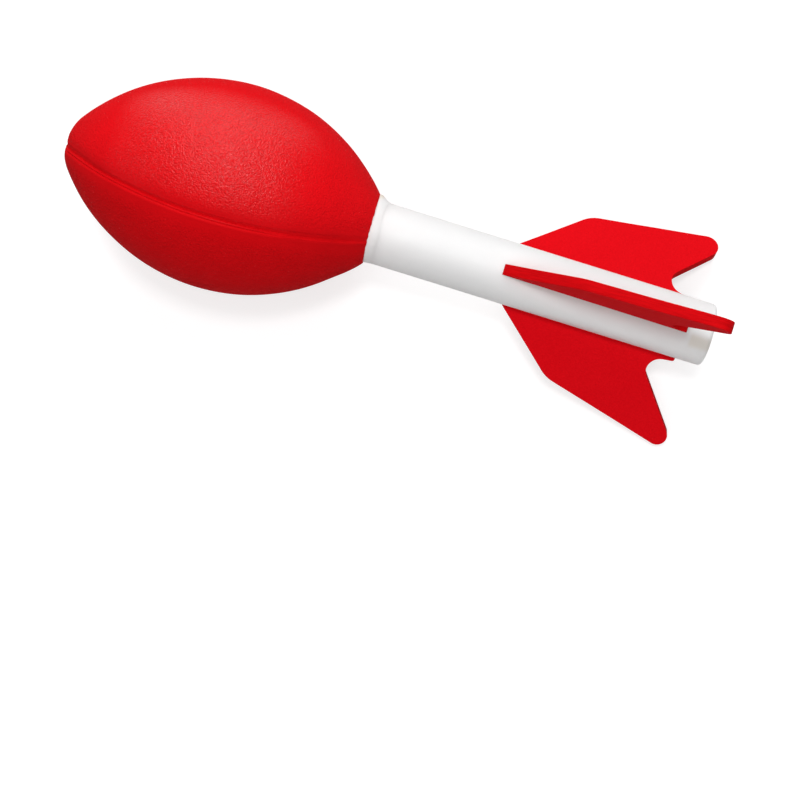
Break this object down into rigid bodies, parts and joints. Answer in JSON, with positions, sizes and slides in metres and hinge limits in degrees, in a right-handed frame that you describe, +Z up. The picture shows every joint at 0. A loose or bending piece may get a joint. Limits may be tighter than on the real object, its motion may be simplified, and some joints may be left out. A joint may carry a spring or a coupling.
{
  "type": "foam throwing football with tail fins",
  "caption": "Small foam football on a white plastic tail tube with swept foam fins, thrown like a dart so that it flies nose first.",
  "frame": {"origin": "on the ground under the middle of the bounding box, with the football lying on its foam and on two fin tips", "axes": "+X from the nose towards the tail, in the ground plane; +Z up; the top fin stands in the XZ plane"},
  "size_m": [0.1503, 0.0492, 0.0465],
  "materials": {
    "red_foam": "matte",
    "white_plastic": "satin",
    "plug_plastic": "satin",
    "dried_glue": "satin",
    "red_sheet": "matte"
  },
  "bodies": {
    "root": {"foam_football": "red_foam", "tail_tube": "white_plastic", "tube_front_plug": "plug_plastic", "neck_glue_bead": "dried_glue", "top_fin": "red_sheet", "right_fin": "red_sheet", "left_fin": "red_sheet"}
  },
  "joints": []
}
